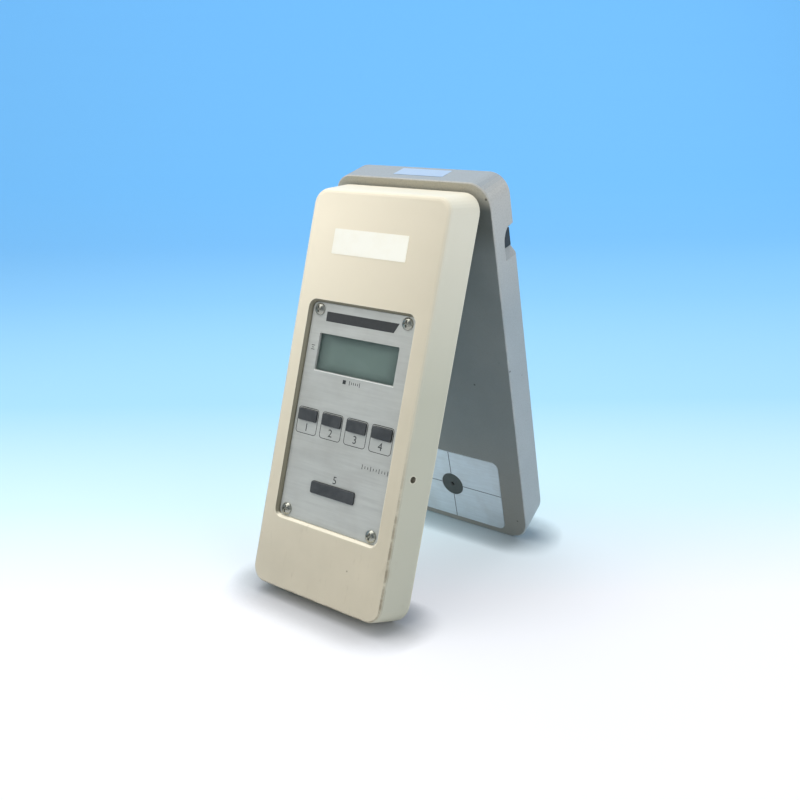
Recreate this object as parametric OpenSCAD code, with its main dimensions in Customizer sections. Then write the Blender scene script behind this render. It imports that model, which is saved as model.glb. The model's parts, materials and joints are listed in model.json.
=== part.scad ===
// Hinged transmission densitometer, standing open on the inner edges of its two leaves.
// Each leaf is drawn in a frame of its own: X across, Z up the leaf from its free end,
// and Y = 0 on the inner face, where the two leaves meet when shut.
// The head lies on the -Y side of its frame, and the base on the +Y side.

/* [Leaves] */
// Length of both leaves
body_l = 181.7; // [170:0.1:200]
// Width of the head at its inner face
head_w = 79; // [76:0.1:84]
// Thickness of the head
head_t = 16.1; // [15.5:0.1:19]
// Width of the base
base_w = 82.8; // [80:0.1:90]
// Wall of the head housing
head_wall = 2.2; // [1.8:0.1:2.6]
// Side wall of the base housing
base_wall = 3.4; // [3:0.1:3.8]
// Wall of the base housing under the film
film_wall = 2.2; // [2:0.1:2.6]
// Corner radius of the head at its inner face
head_corner = 9; // [7:0.5:11]
// Corner radius of the base at its inner face
base_corner = 10; // [8:0.5:12]
// Rounding of the head's front edge
head_edge = 1.6; // [1:0.1:2]
// Rounding of the base's outer edge
base_edge = 1.2; // [1:0.1:2.4]
// Draft of the head's sides from the inner face to the front
head_draft = 3.5; // [2:0.1:4]
// Slope of the head's hinge end from the inner face to the front
head_slope = 5.2; // [3:0.1:5.4]
// Draft of the head's free end
head_foot_draft = 0.7; // [0:0.1:1.5]
// Draft of the base's sides
base_draft = 0; // [0:0.1:1]
// Slope of the base's free end from the inner face outwards
base_slope = 6.6; // [4:0.1:7.5]
// Thickness of the two screwed covers
cover_t = 2; // [1.6:0.1:2.4]

/* [Hinge] */
// Angle between the leaves when open
open_angle = 31; // [25:0.5:33]
// Gap between the shut leaves
film_gap = 4.6; // [4.2:0.1:5.5]
// Hinge axis below the hinge end
hinge_inset = 7.2; // [7:0.1:9]
// Hinge axis inside the head, from its inner face
hinge_depth = 5.2; // [5.2:0.1:6]
// Diameter of the hinge pin
pin_d = 3; // [2.5:0.1:3.4]
// Outer radius of the hinge eyes
eye_r = 3; // [2.7:0.1:3.1]
// Running clearance of the pin, on the radius
run_gap = 0.05; // [0.02:0.01:0.1]
// Inner face of each lug from the head's side
lug_side = 21.3; // [20:0.1:23]
// Thickness of each lug
lug_t = 5; // [4:0.5:5.5]
// Width of each knuckle of the head
knuckle_t = 6; // [5:0.5:7]
// Thickness of the bracket plate on the base
bracket_t = 1.2; // [1:0.1:1.5]
// Wire of the two hinge springs
spring_wire = 0.8; // [0.6:0.1:1]
// Turns of each hinge spring
spring_turns = 9; // [6:1:10]

/* [Control panel] */
// Lower edge of the recess
panel_low = 32.2; // [31:0.1:33]
// Height of the recess
panel_h = 95.7; // [95:0.1:99]
// Depth of the panel's face below the front
panel_recess = 2; // [1.6:0.1:2.3]
// Width of the sloped lip round the recess
bevel_w = 0.9; // [0.4:0.1:1.2]
// Thickness of the panel
panel_t = 1.2; // [1:0.1:1.5]
// Corner radius of the recess
panel_corner = 3; // [2:0.5:4]
// Width of the display window
window_w = 43.4; // [40:0.1:45]
// Height of the display window
window_h = 16.1; // [14:0.1:18]
// Rim of the display beyond its window
window_rim = 3.5; // [3:0.1:4]
// Edge of the frame round the display
frame_edge = 1.1; // [1:0.1:1.6]
// Ledge that carries the edge of the panel
ledge_in = 1.2; // [1.2:0.1:2]
// Screw centres from the panel's side
screw_side = 4.2; // [4:0.1:5]
// Screw centres from the panel's top and bottom
screw_end = 3.3; // [3.2:0.1:4.6]
// Head diameter of the panel screws
panel_screw_d = 5.3; // [4.6:0.1:5.6]

/* [Keys] */
// Width of each key
key_w = 10.2; // [9.5:0.1:11.5]
// Height of each key
key_h = 5; // [4.8:0.1:6.5]
// Distance between key centres
key_pitch = 13.7; // [13:0.05:14]
// Key row below the middle of the display window
key_drop = 28.3; // [27:0.1:29]
// How far a key stands above the panel
key_rise = 0.9; // [0.9:0.1:1.4]
// Key travel
key_travel = 0.8; // [0.5:0.1:0.9]
// Width of the read bar
bar_w = 23.8; // [20:0.1:26]
// Height of the read bar
bar_h = 5.2; // [4.6:0.1:6]
// Middle of the read bar above the panel's lower edge
bar_up = 16.2; // [16:0.1:19]

/* [Optics] */
// Optical axis from the free end
optic_z = 22.8; // [22:0.1:24]
// Diameter of the aperture disc
disc_d = 12.2; // [10:0.1:13]
// Measuring aperture
aperture_d = 1.6; // [1:0.1:3]
// Width of the target plate
plate_w = 57.6; // [54:0.1:60]
// Lower edge of the target plate
plate_low = 2.9; // [2.5:0.1:4]
// Upper edge of the target plate
plate_top = 42.4; // [41:0.1:44]
// Thickness of the target plate
plate_t = 0.5; // [0.4:0.1:0.8]
// Height of the trimmer hole up the head
trim_z = 62.6; // [60:0.1:64]
// Depth of the trimmer hole behind the front
trim_depth = 5.5; // [5.2:0.1:5.8]
// Diameter of the trimmer hole
trim_hole_d = 2.8; // [2.4:0.1:3.2]

/* [Power] */
// Diameter of a battery cell
cell_d = 10.4; // [9.5:0.1:10.5]
// Length of a battery cell
cell_l = 44.5; // [43:0.1:45]
// Bore of the charger socket
jack_bore_d = 3.5; // [2.5:0.1:3.6]
// Depth of the recess round the charger socket
notch_depth = 3; // [2.8:0.1:3]
// Upper edge of that recess below the hinge end
notch_end = 21.5; // [20:0.1:23]
// Height of that recess
notch_h = 14.2; // [13:0.1:15]

/* [Hidden] */
// General clearances
fit_gap = 0.15;
slide_gap = 0.1;
lug_gap = 0.4;
skin = 0.01;
land = 0.5;
over = 1;
$fn = 64;

// The cells set the thickness of the base
tray_t = 1;
cell_room = 0.4;
base_t = film_wall + tray_t + cell_d + cell_room + cover_t;

// Leaning of the leaves: the line between the two feet is level
hinge_z = body_l - hinge_inset;
hinge_y = film_gap + hinge_depth;
foot_up = hinge_z - hinge_z * cos(open_angle) - hinge_depth * sin(open_angle);
foot_out = hinge_y + hinge_z * sin(open_angle) - hinge_depth * cos(open_angle);
base_lean = atan2(foot_up, foot_out);
head_lean = open_angle - base_lean;
stride = sqrt(foot_up * foot_up + foot_out * foot_out);
front_y = -head_t * cos(head_lean);
back_y = stride + base_t * cos(base_lean) - base_slope * sin(base_lean);
centre_y = (front_y + back_y) / 2;

// Depths in the head, from its inner face
panel_face = -head_t + panel_recess;
panel_back = panel_face + panel_t;
ledge_t = 1.7;
tray_wall = 1.6;
inner_front = -head_t + head_wall;
board_t = 1.6;
board_front = panel_back + 4.1;
board_back = board_front + board_t;
window_t = 0.8;
display_t = 2.2;
display_w = window_w + 2 * window_rim;
display_h = window_h + 2 * window_rim;
flange_side = 0.8;
opening_gap = 0.3;
opening_w = max(3 * key_pitch + key_w + 2 * flange_side, display_w + 2 * frame_edge)
    + 2 * opening_gap;
panel_w = opening_w + 2 * ledge_in;
panel_mid = panel_low + panel_h / 2;
panel_top = panel_low + panel_h;
pilot_r = 1.3;
shank_r = 1.25;
boss_r = 3.5;
cover_screw_d = 5;
countersink_t = 1.4;
head_screw_x = head_w / 2 - head_wall - 5.2;
base_screw_x = base_w / 2 - base_wall - 5.2;
pad_r = boss_r + 0.8;
window_gap = 1.15;
bevel_t = 1.2;
window_z = panel_top - screw_end - pad_r - window_gap - display_h / 2 - frame_edge;
key_z = window_z - key_drop;
bar_z = panel_low + bar_up;
cover_low = 12;
base_screw_low = 16;
base_cover_top = body_l - 13.7;
board_side = 1.7;
board_w = head_w - 2 * (head_wall - head_draft * board_front / head_t + board_side);
board_low = panel_low + 1.5;
board_top = panel_top + 11.9;
head_cover_top = board_top + 9;
board_screw_x = board_w / 2 - 4;
board_screw_z = [bar_z + 7.1, key_z + 8];

// Keys
cap_corner = 0.8;
flange_t = 0.6;
stem_r = 1.5;
stem_down = 1.3;
switch_w = 8.4;
switch_h = 6.8;
key_x = [for (i = [0:3]) (i - 1.5) * key_pitch];
flange_front = panel_back + fit_gap;
flange_back = flange_front + flange_t;
switch_front = flange_back + key_travel + fit_gap;
switch_well = board_front - 0.3 - switch_front;

// Trimmer
trim_y = -head_t + trim_depth;
trim_half = 2;
trim_screw_r = 1.2;
trim_x = opening_w / 2 - 0.9;
trim_l = 5;

// Hinge
lug_x = head_w / 2 - lug_side;
bracket_screw_x = lug_x - 6;
bracket_screw_z = hinge_z - 13;
lug_heel = 14.5;
lug_half = 0.7 * (eye_r - 0.4);
lug_rake = (lug_heel - lug_half) / (hinge_y + lug_half - bracket_t / 2);
bore_end = lug_x + lug_t + lug_gap + knuckle_t + over;

// Optics
plate_sink = 0.4;
disc_t = 1;
nose_hole_r = 8.2;
nose_r = 8;
nose_tip_r = 4;
nose_flange_r = 10.5;
nose_flange_t = 1.4;
nose_gap = 0.3;
nose_tip = film_gap - (plate_t - plate_sink) - nose_gap;
optic_r = 4.1;
sight_r = 1.8;
can_r = 4;
sensor_end = -5.6;
sensor_board_w = 26;
sensor_board_h = 21;
tube_r = 7.5;
lens_r = 5;
lens_face = film_wall + 0.1;
lens_t = 1.9;
lens_edge = 1.2;
lens_curve = 9.6;
bulb_r = 2.4;
inner_back = base_t - cover_t;
lamp_seat = inner_back - board_t - 0.1;
lamp_board_w = 30;
lamp_board_h = 20;

// Power
cell_gap = 0.5;
cell_cols = 3;
cell_low = 42;
contact_t = 0.6;
tray_left = -base_w / 2 + base_wall + 8.6;
cell_pitch = cell_d + cell_gap;
cells_l = 2 * cell_l + 3 * contact_t + 4 * cell_gap;
cell_y = film_wall + tray_t + cell_d / 2;
notch_top = body_l - notch_end;
notch_low = notch_top - notch_h;
notch_slant = 2.8;
notch_crown = 1;
jack_side = 7;
jack_face_t = 0.4;
jack_l = 13;
notch_floor_x = base_w / 2 - notch_depth;
notch_front = 7;
notch_round = 9;
notch_ramp = 3.2;
jack_z = notch_top - notch_slant - fit_gap - jack_side / 2;
jack_y = inner_back - jack_side / 2 - 0.1;
charge_x0 = notch_floor_x - jack_l - 3;
charge_x1 = notch_floor_x - 2.5;
charge_top = jack_z + 5.1;
charge_l = 78;
charge_low = charge_top - charge_l;
charge_board_y = jack_y - jack_side / 2 - board_t - 0.05;

// Labels
label_t = 0.15;
label_w = 39.6;
label_h = 10.9;
label_z = body_l - 27.3;
label_x = -1.4;
service_w = 26;
service_h = 8;

// ---------------------------------------------------------------- frames and shapes

// Children in the head's frame
module in_head() {
    translate([0, -centre_y, 0]) rotate([-head_lean, 0, 0]) children();
}

// Children in the base's frame
module in_base() {
    translate([0, stride - centre_y, 0]) rotate([base_lean, 0, 0]) children();
}

// A flat outline in X and Z, from depth y on, t thick
module slab(y, t) {
    translate([0, y + t, 0]) rotate([90, 0, 0]) linear_extrude(t) children();
}

// Rectangle of size w by h about (x, z), with round corners
module rounded(x, z, w, h, r) {
    translate([x - w / 2 + r, z - h / 2]) square([w - 2 * r, h]);
    translate([x - w / 2, z - h / 2 + r]) square([w, h - 2 * r]);
    for (sx = [-1, 1], sz = [-1, 1])
        translate([x + sx * (w / 2 - r), z + sz * (h / 2 - r)]) circle(r);
}

// Block of size w by h about (x, z), from depth y on, t thick
module block(x, z, w, h, y, t) {
    translate([x - w / 2, y, z - h / 2]) cube([w, t, h]);
}

// Round bar along Y
module rod(x, z, r, y, t) {
    translate([x, y + t, z]) rotate([90, 0, 0]) cylinder(r = r, h = t);
}

// Shape turned about the Y axis at (x, z), drawn as radius and depth
module turned(x, z) {
    translate([x, 0, z]) rotate([-90, 0, 0]) rotate_extrude() children();
}

// Round bar along X
module cross_rod(x, y, z, r, l) {
    translate([x, y, z]) rotate([0, 90, 0]) cylinder(r = r, h = l);
}

// Four corner discs of one layer of a leaf, t thick
module layer(w, y, t, side, foot, end, r) {
    for (sx = [-1, 1], z = [foot + r, body_l - end - r])
        rod(sx * (w / 2 - side - r), z, r, y, t, $fn = 32);
}

// Outer form of the head, shrunk by wall on the sides and by front at the front face
module head_form(wall, front, reach) {
    steps = 3;
    hull() {
        layer(head_w, -land, land + reach, wall, wall, wall, head_corner - wall);
        for (i = [0:steps]) {
            a = 90 * i / steps;
            y = -head_t + front + head_edge * (1 - sin(a));
            f = -y / head_t;
            in = wall + head_edge * (1 - cos(a));
            layer(head_w, y, skin, in + head_draft * f, in + head_foot_draft * f, in + head_slope * f,
                head_corner - 2.2 * f - in);
        }
    }
}

// Outer form of the base, shrunk in the same way
module base_form(wall, inner, outer) {
    steps = 3;
    rim = 0.4;
    hull() {
        layer(base_w, inner, skin, wall + rim, wall + rim, wall + rim, base_corner - wall);
        layer(base_w, inner + rim, land, wall, wall, wall, base_corner - wall);
        for (i = [0:steps]) {
            a = 90 * i / steps;
            y = outer - base_edge * (1 - sin(a));
            f = y / base_t;
            in = wall + base_edge * (1 - cos(a));
            layer(base_w, y - skin, skin, in + base_draft * f, in + base_slope * f, in,
                base_corner - f - in);
        }
    }
}

// Outline of a leaf's cavity at depth f of its thickness, as a flat shape
module cavity_outline(w, wall, side, foot, end, r) {
    low = wall + foot;
    high = body_l - wall - end;
    rounded(0, (low + high) / 2, w - 2 * (wall + side), high - low, r);
}

// ---------------------------------------------------------------- screws

// Pan head on the plane y with its shank running on towards +Y
module pan_screw(x, z, y, d, l) {
    crown = 0.3 * d;
    difference() {
        union() {
            turned(x, z) intersection() {
                translate([0, y - crown]) square([d / 2, crown]);
                translate([0, y + 0.35 * d]) circle(0.66 * d);
            }
            rod(x, z, shank_r, y - skin, l);
        }
        for (turn = [0, 90])
            translate([x, y - crown, z]) rotate([0, turn, 0])
                cube([0.16 * d, 1.1 * crown, 0.58 * d], center = true);
    }
}

// Countersunk screw whose flat lies on the plane y; to = 1 runs on to +Y and -1 to -Y
module flush_screw(x, z, y, d, l, to) {
    translate([x, y, z]) rotate([-90 * to, 0, 0]) difference() {
        rotate_extrude() polygon([
            [0, 0], [d / 2, 0], [d / 2, 0.2], [shank_r, countersink_t], [shank_r, l], [0, l]
        ]);
        for (turn = [0, 90])
            rotate([0, 0, turn]) cube([0.16 * d, 0.58 * d, 1.4], center = true);
    }
}

// The hole for such a screw through a cover t thick
module flush_hole(x, z, y, d, t, to) {
    translate([x, y, z]) rotate([-90 * to, 0, 0]) rotate_extrude() polygon([
        [0, -over], [d / 2 + fit_gap, -over], [d / 2 + fit_gap, 0.2], [pilot_r, countersink_t],
        [pilot_r, t + over], [0, t + over]
    ]);
}

module head_screw_places() {
    for (sx = [-1, 1], z = [cover_low, head_cover_top])
        translate([sx * head_screw_x, 0, z]) children();
}

module base_screw_places() {
    for (sx = [-1, 1], z = [base_screw_low, base_cover_top])
        translate([sx * base_screw_x, 0, z]) children();
}

module panel_screw_places() {
    for (sx = [-1, 1], z = [panel_low + screw_end, panel_top - screw_end])
        translate([sx * (panel_w / 2 - screw_side), 0, z]) children();
}

// ---------------------------------------------------------------- head

module head_housing() {
    color("antiquewhite") in_head() difference() {
        union() {
            difference() {
                head_form(0, 0, 0);
                head_form(head_wall, head_wall, over);
            }
            slab(inner_front - over, panel_back + ledge_t - inner_front + over)
                rounded(0, panel_mid, panel_w + 2 * tray_wall, panel_h + 2 * tray_wall,
                    panel_corner + tray_wall);
            panel_screw_places()
                rod(0, 0, boss_r, panel_back + land, board_front - panel_back - 2 * land);
            for (sx = [-1, 1], z = board_screw_z)
                rod(sx * board_screw_x, z, 3, inner_front - over, board_front - inner_front + over);
            head_screw_places()
                rod(0, 0, boss_r, inner_front - over, -cover_t - inner_front + over);
            for (side = [-1, 1]) knuckle(side);
        }
        slab(-head_t - over, panel_back + head_t + over)
            rounded(0, panel_mid, panel_w, panel_h, panel_corner);
        recess_lip();
        slab(panel_back - over, ledge_t + 2 * over) ledge_opening();
        panel_screw_places() rod(0, 0, pilot_r, panel_back - over, 3.2 + over);
        for (sx = [-1, 1], z = board_screw_z)
            rod(sx * board_screw_x, z, pilot_r, board_front - 3.2, 3.2 + over);
        head_screw_places() rod(0, 0, pilot_r, -cover_t - 7, 7 + over);
        cross_rod(head_w / 4, trim_y, trim_z, trim_hole_d / 2, head_w / 2);
        cross_rod(-bore_end, -hinge_depth, hinge_z, pin_d / 2 + run_gap, 2 * bore_end);
    }
}

// Sloped lip of the recess, from the front down to the straight part of its wall
module recess_lip() {
    hull() {
        slab(-head_t - skin, skin) rounded(0, panel_mid, panel_w + 2 * bevel_w,
            panel_h + 2 * bevel_w, panel_corner + bevel_w, $fn = 32);
        slab(-head_t + bevel_t, skin)
            rounded(0, panel_mid, panel_w, panel_h, panel_corner, $fn = 32);
    }
}

// Opening behind the panel, with its corners left whole round the screw bosses
module ledge_opening() {
    difference() {
        rounded(0, panel_mid, opening_w, panel_h - 2 * ledge_in, panel_corner);
        for (sx = [-1, 1], z = [panel_low + screw_end, panel_top - screw_end])
            translate([sx * (panel_w / 2 - screw_side), z]) circle(pad_r);
    }
}

// Hinge knuckle that hangs from the front wall and carries the pin's bore
module knuckle(side) {
    x0 = side > 0 ? lug_x + lug_t + lug_gap : -lug_x - lug_t - lug_gap - knuckle_t;
    cross_rod(x0, -hinge_depth, hinge_z, eye_r, knuckle_t);
    translate([x0, inner_front - over, hinge_z - eye_r - 3])
        cube([knuckle_t, -hinge_depth - inner_front + over, 5]);
}

module head_inner_cover() {
    color("gray") in_head() difference() {
        f = cover_t / head_t;
        slab(-cover_t, cover_t) cavity_outline(head_w, head_wall + fit_gap, head_draft * f,
            head_foot_draft * f, head_slope * f, head_corner - head_wall - fit_gap);
        head_screw_places() flush_hole(0, 0, 0, cover_screw_d, cover_t, -1);
        rod(0, optic_z, nose_hole_r, -cover_t - over, cover_t + 2 * over);
        for (side = [-1, 1]) lug_slot(side);
    }
}

// Slot through which a lug and its spring leg reach the pin, over the whole swing
module lug_slot(side) {
    low = hinge_z - lug_heel + (film_gap - bracket_t / 2) * lug_rake - 0.6;
    high = hinge_z + 2.5;
    inside = lug_x - 3;
    outside = lug_x + lug_t + lug_gap;
    block(side * (inside + outside) / 2, (low + high) / 2, outside - inside, high - low,
        -cover_t - over, cover_t + 2 * over);
}

module head_cover_screws() {
    color("silver") in_head() head_screw_places() flush_screw(0, 0, 0, cover_screw_d, 8, -1);
}

module control_panel() {
    color("lightgray") in_head() difference() {
        slab(panel_face, panel_t) rounded(0, panel_mid, panel_w - 2 * fit_gap,
            panel_h - 2 * fit_gap, panel_corner - fit_gap);
        slab(panel_face - over, panel_t + 2 * over)
            rounded(0, window_z, window_w, window_h, 0.6);
        panel_screw_places() rod(0, 0, pilot_r + 0.1, panel_face - over, panel_t + 2 * over);
        slab(panel_face - over, panel_t + 2 * over) {
            for (x = key_x)
                rounded(x, key_z, key_w + 2 * fit_gap, key_h + 2 * fit_gap, cap_corner);
            rounded(0, bar_z, bar_w + 2 * fit_gap, bar_h + 2 * fit_gap, cap_corner);
        }
    }
}

module panel_screws() {
    color("silver") in_head() panel_screw_places()
        pan_screw(0, 0, panel_face, panel_screw_d, panel_t + 3);
}

module display_window() {
    color("lightblue") in_head()
        slab(panel_back, window_t) rounded(0, window_z, window_w + 4, window_h + 4, 1);
}

module display_glass() {
    color("darkseagreen") in_head() {
        back = panel_back + window_t;
        block(0, window_z, display_w, display_h - 3, back, display_t / 2);
        block(0, window_z, display_w, display_h, back + display_t / 2, display_t / 2);
    }
}

// Frame round the display, held between the panel and the board
module display_frame() {
    color("dimgray") in_head() difference() {
        block(0, window_z, display_w + 2 * frame_edge, display_h + 2 * frame_edge, panel_back,
            board_front - panel_back);
        block(0, window_z, display_w + 2 * fit_gap, display_h + 2 * fit_gap,
            panel_back - over, board_front - panel_back + 2 * over);
    }
}

module display_connectors() {
    from = panel_back + window_t + display_t;
    color("hotpink") in_head() for (s = [-1, 1])
        block(0, window_z + s * (display_h / 2 - 1.2), display_w - 2, 2, from,
            board_front - from);
}

module main_board() {
    color("seagreen") in_head() difference() {
        slab(board_front, board_t)
            rounded(0, (board_low + board_top) / 2, board_w, board_top - board_low, 1.5);
        for (sx = [-1, 1], z = board_screw_z)
            rod(sx * board_screw_x, z, pilot_r + 0.1, board_front - over, board_t + 2 * over);
    }
}

module board_screws() {
    color("silver") in_head() for (sx = [-1, 1], z = board_screw_z)
        mirrored_pan(sx * board_screw_x, z, board_back, 4.4, board_t + 2.8);
}

// Pan head on the plane y with its shank running towards -Y
module mirrored_pan(x, z, y, d, l) {
    mirror([0, 1, 0]) pan_screw(x, z, -y, d, l);
}

module meter_chips() {
    chip_t = 2.6;
    meter_w = 13;
    meter_l = 52;
    logic_h = 7;
    can_t = 3;
    color("black") in_head() {
        block(0, window_z + 1.2, meter_w, meter_l, board_back, chip_t);
        for (place = [[-16, 19], [12, 10]])
            block(place[0], key_z - logic_h, place[1], logic_h, board_back, chip_t);
        for (place = [[15, 3.5], [-15, 2.5]])
            rod(place[0], key_z + 11, place[1], board_back, can_t);
    }
}

// Body of a push switch with the well that takes a key's stem
module push_switch(x, z) {
    difference() {
        block(x, z, switch_w, switch_h, switch_front, board_front - switch_front);
        rod(x, z, stem_r + slide_gap, switch_front - over, switch_well + over);
    }
}

module key_switches() {
    color("black") in_head() for (x = key_x) push_switch(x, key_z);
}

module read_switch() {
    color("black") in_head() push_switch(0, bar_z);
}

// Key cap of w by h with a flange behind the panel and a stem down to its switch
module cap(x, z, w, h) {
    slab(panel_face - key_rise, flange_front - panel_face + key_rise + skin)
        rounded(x, z, w, h, cap_corner);
    slab(flange_front, flange_t)
        rounded(x, z, w + 2 * flange_side, h + 2 * flange_side, cap_corner);
    rod(x, z, stem_r, flange_back - skin, stem_down + skin);
}

module key(i) {
    color("darkslategray") in_head() cap(key_x[i], key_z, key_w, key_h);
}

module off_key() { key(0); }
module density_key() { key(1); }
module dot_key() { key(2); }
module null_key() { key(3); }

module read_bar() {
    color("darkslategray") in_head() cap(0, bar_z, bar_w, bar_h);
}

// Reading nose: a turned cone that meets the film over the aperture
module sensor_nose() {
    color("black") in_head() turned(0, optic_z) polygon([
        [sight_r, nose_tip], [nose_tip_r, nose_tip], [nose_r, 0], [nose_r, -cover_t],
        [nose_flange_r, -cover_t], [nose_flange_r, -cover_t - nose_flange_t],
        [nose_r, -cover_t - nose_flange_t], [nose_r, sensor_end], [optic_r, sensor_end],
        [optic_r, 1], [sight_r, 1]
    ]);
}

module sensor_lens() {
    color("lightcyan") in_head() turned(0, optic_z) intersection() {
        translate([0, -1]) square([optic_r - 0.05, 2]);
        translate([0, 7]) circle(8);
    }
}

module colour_filter() {
    color("yellowgreen") in_head() rod(0, optic_z, optic_r - 0.05, -2, 1);
}

module photodiode() {
    color("gold") in_head() {
        rod(0, optic_z, can_r, sensor_end, -2 - sensor_end);
        for (x = [-2, 2]) rod(x, optic_z, 0.25, sensor_end - 2.2, 2.3);
    }
}

module sensor_board() {
    color("seagreen") in_head() difference() {
        block(0, optic_z - 2.8, sensor_board_w, sensor_board_h, sensor_end - board_t, board_t);
        for (x = [-2, 2]) rod(x, optic_z, 0.3, sensor_end - board_t - over, board_t + 2 * over);
    }
}

// Trimmer seated on the board's front behind the hole in the head's side
module trimmer_body() {
    color("royalblue") in_head() difference() {
        translate([trim_x - trim_l, trim_y - trim_half, trim_z - 3])
            cube([trim_l, board_front - trim_y + trim_half, 6]);
        cross_rod(trim_x - 3, trim_y, trim_z, trim_screw_r + run_gap, 3 + over);
    }
}

module trimmer_screw() {
    slot = 0.5;
    color("gold") in_head() difference() {
        cross_rod(trim_x - 2.9, trim_y, trim_z, trim_screw_r, 3.6);
        translate([trim_x + 0.1, trim_y - slot / 2, trim_z - 2]) cube([1, slot, 4]);
    }
}

module name_label() {
    color("ivory") in_head()
        slab(-head_t - label_t, label_t) rounded(label_x, label_z, label_w, label_h, 0.4);
}

// ---------------------------------------------------------------- base

module base_housing() {
    color("slategray") in_base() difference() {
        union() {
            difference() {
                base_form(0, 0, base_t);
                base_form(base_wall, film_wall, base_t + base_edge + over);
            }
            cover_ledge();
            base_screw_places()
                rod(0, 0, boss_r, film_wall - skin, inner_back - film_wall + skin);
            jack_pad();
        }
        slab(inner_back, cover_t + over) base_opening(0);
        base_screw_places() rod(0, 0, pilot_r, inner_back - 7, 7 + over);
        slab(-over, over + plate_sink) plate_outline(0);
        rod(0, optic_z, disc_d / 2 + fit_gap, -over, over + plate_sink + disc_t);
        rod(0, optic_z, lens_r + fit_gap, -over, film_wall + 2 * over);
        notch();
        block(notch_floor_x - jack_side / 2 + skin, jack_z, jack_side, jack_side + 2 * fit_gap,
            jack_y - jack_side / 2 - fit_gap, jack_side + 2 * fit_gap);
        for (side = [-1, 1])
            rod(side * bracket_screw_x, bracket_screw_z, pilot_r, -over, film_wall + 2 * over);
    }
}

// Outline of the opening that the bottom cover fills
module base_opening(gap) {
    f = inner_back / base_t;
    cavity_outline(base_w, base_wall + gap, base_draft * f, base_slope * f, 0,
        base_corner - base_wall - gap - f);
}

// Narrow ledge inside the rim, on which the bottom cover rests
module cover_ledge() {
    difference() {
        slab(inner_back - 1.5, 1.5) base_opening(-1);
        slab(inner_back - 1.5 - over, 1.5 + 2 * over) base_opening(1);
    }
}

// Thickening that frames the charger socket
module jack_pad() {
    translate([notch_floor_x - 2, notch_front - 2, notch_low + 2])
        cube([2.2, inner_back - notch_front + 2, notch_top - notch_low + 1]);
}

// Recess in the side with ramped ends and one rounded corner, open to the outer face
module notch() {
    side = base_w / 2;
    intersection() {
        slab(0, base_t + over) polygon([
            [notch_floor_x, notch_low + notch_ramp], [side + over, notch_low - 1.7],
            [side + over, notch_top + 0.6], [notch_floor_x, notch_top - notch_slant]
        ]);
        translate([notch_floor_x - over, 0, 0]) rotate([90, 0, 90])
            linear_extrude(notch_depth + 2 * over)
                notch_side(notch_low - 3, notch_top + notch_crown, base_t, 0);
    }
}

// Side view of the recess from low to high, with its upper inner corner rounded
module notch_side(low, high, depth, gap) {
    r = notch_round - gap;
    y = notch_front + gap;
    translate([y + r, low]) square([depth, high - low]);
    translate([y, low]) square([depth, high - r - low]);
    translate([y + r, high - r]) circle(r);
}

module base_bottom_cover() {
    color("slategray") in_base() difference() {
        slab(inner_back, cover_t) base_opening(fit_gap);
        base_screw_places() flush_hole(0, 0, base_t, cover_screw_d, cover_t, -1);
    }
}

module base_cover_screws() {
    color("silver") in_base() base_screw_places()
        flush_screw(0, 0, base_t, cover_screw_d, 8, -1);
}

// Outline of the target plate; the free end keeps small corners
module plate_outline(gap) {
    rounded(0, (plate_low + plate_top) / 2, plate_w - 2 * gap, plate_top - plate_low - 2 * gap,
        3.5 - gap);
}

module target_plate() {
    color("gainsboro") in_base() difference() {
        slab(plate_sink - plate_t, plate_t) plate_outline(fit_gap);
        rod(0, optic_z, disc_d / 2 + fit_gap, -over, 2 * over);
    }
}

module aperture_disc() {
    color("darkslategray") in_base() difference() {
        rod(0, optic_z, disc_d / 2, plate_sink - plate_t, disc_t + plate_t);
        translate([0, 0, optic_z]) rotate([-90, 0, 0]) rotate_extrude() polygon([
            [0, -over], [aperture_d / 2 + 0.9 + over, -over], [aperture_d / 2, 0.3],
            [aperture_d / 2, 3], [0, 3]
        ]);
    }
}

module diffuser() {
    color("white") in_base()
        rod(0, optic_z, lens_r, plate_sink + disc_t, film_wall - plate_sink - disc_t);
}

module light_tube() {
    color("dimgray") in_base() turned(0, optic_z) polygon([
        [lens_r + fit_gap, film_wall], [tube_r, film_wall], [tube_r, lamp_seat - 1.9],
        [3.6, lamp_seat - 1.9], [3.6, lamp_seat - 3.3], [lens_r - 0.8, lamp_seat - 3.3],
        [lens_r - 0.8, lens_face + lens_edge], [lens_r + fit_gap, lens_face + lens_edge]
    ]);
}

module condenser_lens() {
    color("lightcyan") in_base() turned(0, optic_z) intersection() {
        translate([0, lens_face]) square([lens_r, lens_t]);
        translate([0, lens_face + lens_t - lens_curve]) circle(lens_curve);
    }
}

module lamp_bulb() {
    color("lightyellow") in_base() {
        translate([0, lamp_seat - 4.7, optic_z]) sphere(bulb_r - 0.1);
        rod(0, optic_z, bulb_r - 0.1, lamp_seat - 4.7, 1.8);
        rod(0, optic_z, bulb_r, lamp_seat - 2.9, 1.6);
    }
}

module lamp_socket() {
    color("black") in_base() difference() {
        rod(0, optic_z, 3.5, lamp_seat - 3.2, 3.2);
        rod(0, optic_z, bulb_r + 0.05, lamp_seat - 3.3, 2.05);
    }
}

module lamp_board() {
    color("seagreen") in_base()
        block(0, optic_z + 1.2, lamp_board_w, lamp_board_h, lamp_seat, board_t);
}

// Tray with a floor on the film wall and side rails that hold the cells
module battery_tray() {
    width = cell_cols * cell_pitch + cell_gap;
    mid = cell_low + cells_l / 2;
    color("dimgray") in_base() difference() {
        block(tray_left + width / 2, mid, width + 2 * tray_t, cells_l + 2 * tray_t, film_wall,
            tray_t + cell_d * 0.75);
        block(tray_left + width / 2, mid, width, cells_l, film_wall + tray_t, cell_d);
    }
}

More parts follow.
